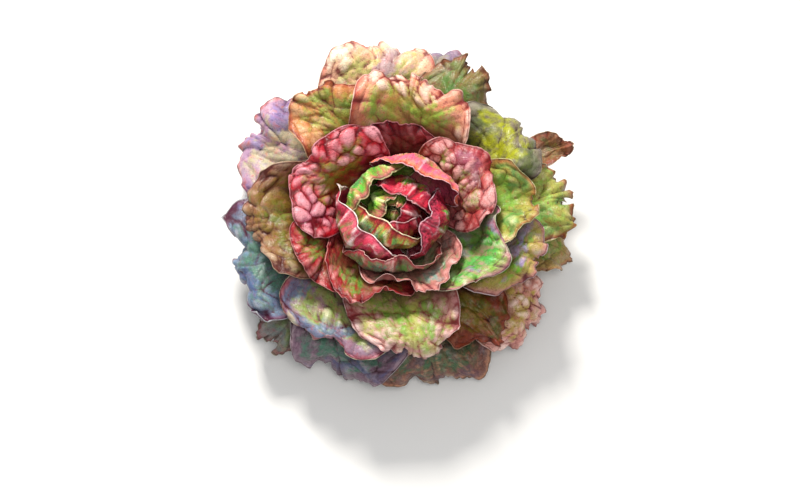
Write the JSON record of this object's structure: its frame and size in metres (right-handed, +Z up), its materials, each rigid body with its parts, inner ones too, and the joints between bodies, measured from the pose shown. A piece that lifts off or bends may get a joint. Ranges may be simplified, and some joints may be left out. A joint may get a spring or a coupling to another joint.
{
  "type": "merveille des quatre saisons lettuce",
  "caption": "Whole red-tinged butterhead lettuce, cut at the stem: a loose rosette of waved, blistered leaves around a wrapped heart, resting on its flat cut stem.",
  "frame": {"origin": "centre of the stem's flat cut face, on the surface that the head stands on", "axes": "+Z up along the stem, -Y towards the front, to which the head leans a little, +X to the right of someone who looks at the front"},
  "size_m": [0.3003, 0.3086, 0.1095],
  "materials": {
    "stem_flesh": "pale green-white cut stem with a dry cream cut face",
    "outer_leaf": "satin leaf, olive and mauve-brown with a red margin",
    "middle_leaf": "satin blistered leaf, olive green flushed with salmon and bronze",
    "ring_leaf": "satin blistered leaf, crimson to pink on the rolled rim",
    "heart_leaf": "satin young leaf, vivid green streaked with crimson"
  },
  "bodies": {
    "root": {"stem": "stem_flesh", "outer_leaf_01": "outer_leaf", "outer_leaf_02": "outer_leaf", "outer_leaf_03": "outer_leaf", "outer_leaf_04": "outer_leaf", "outer_leaf_05": "outer_leaf", "outer_leaf_06": "outer_leaf", "outer_leaf_07": "outer_leaf", "outer_leaf_08": "outer_leaf", "outer_leaf_09": "outer_leaf", "outer_leaf_10": "outer_leaf", "outer_leaf_11": "outer_leaf", "outer_leaf_12": "outer_leaf", "middle_leaf_1": "middle_leaf", "middle_leaf_2": "middle_leaf", "middle_leaf_3": "middle_leaf", "middle_leaf_4": "middle_leaf", "middle_leaf_5": "middle_leaf", "middle_leaf_6": "middle_leaf", "middle_leaf_7": "middle_leaf", "middle_leaf_8": "middle_leaf", "middle_leaf_9": "middle_leaf", "ring_leaf_1": "ring_leaf", "ring_leaf_2": "ring_leaf", "ring_leaf_3": "ring_leaf", "ring_leaf_4": "ring_leaf", "ring_leaf_5": "ring_leaf", "ring_leaf_6": "ring_leaf", "ring_leaf_7": "ring_leaf", "heart_leaf_1": "heart_leaf", "heart_leaf_2": "heart_leaf", "heart_leaf_3": "heart_leaf", "heart_leaf_4": "heart_leaf", "heart_leaf_5": "heart_leaf", "heart_leaf_6": "heart_leaf", "heart_leaf_7": "heart_leaf", "bud_leaf_1": "heart_leaf", "bud_leaf_2": "heart_leaf", "bud_leaf_3": "heart_leaf", "bud_leaf_4": "heart_leaf", "bud_leaf_5": "heart_leaf"}
  },
  "joints": []
}
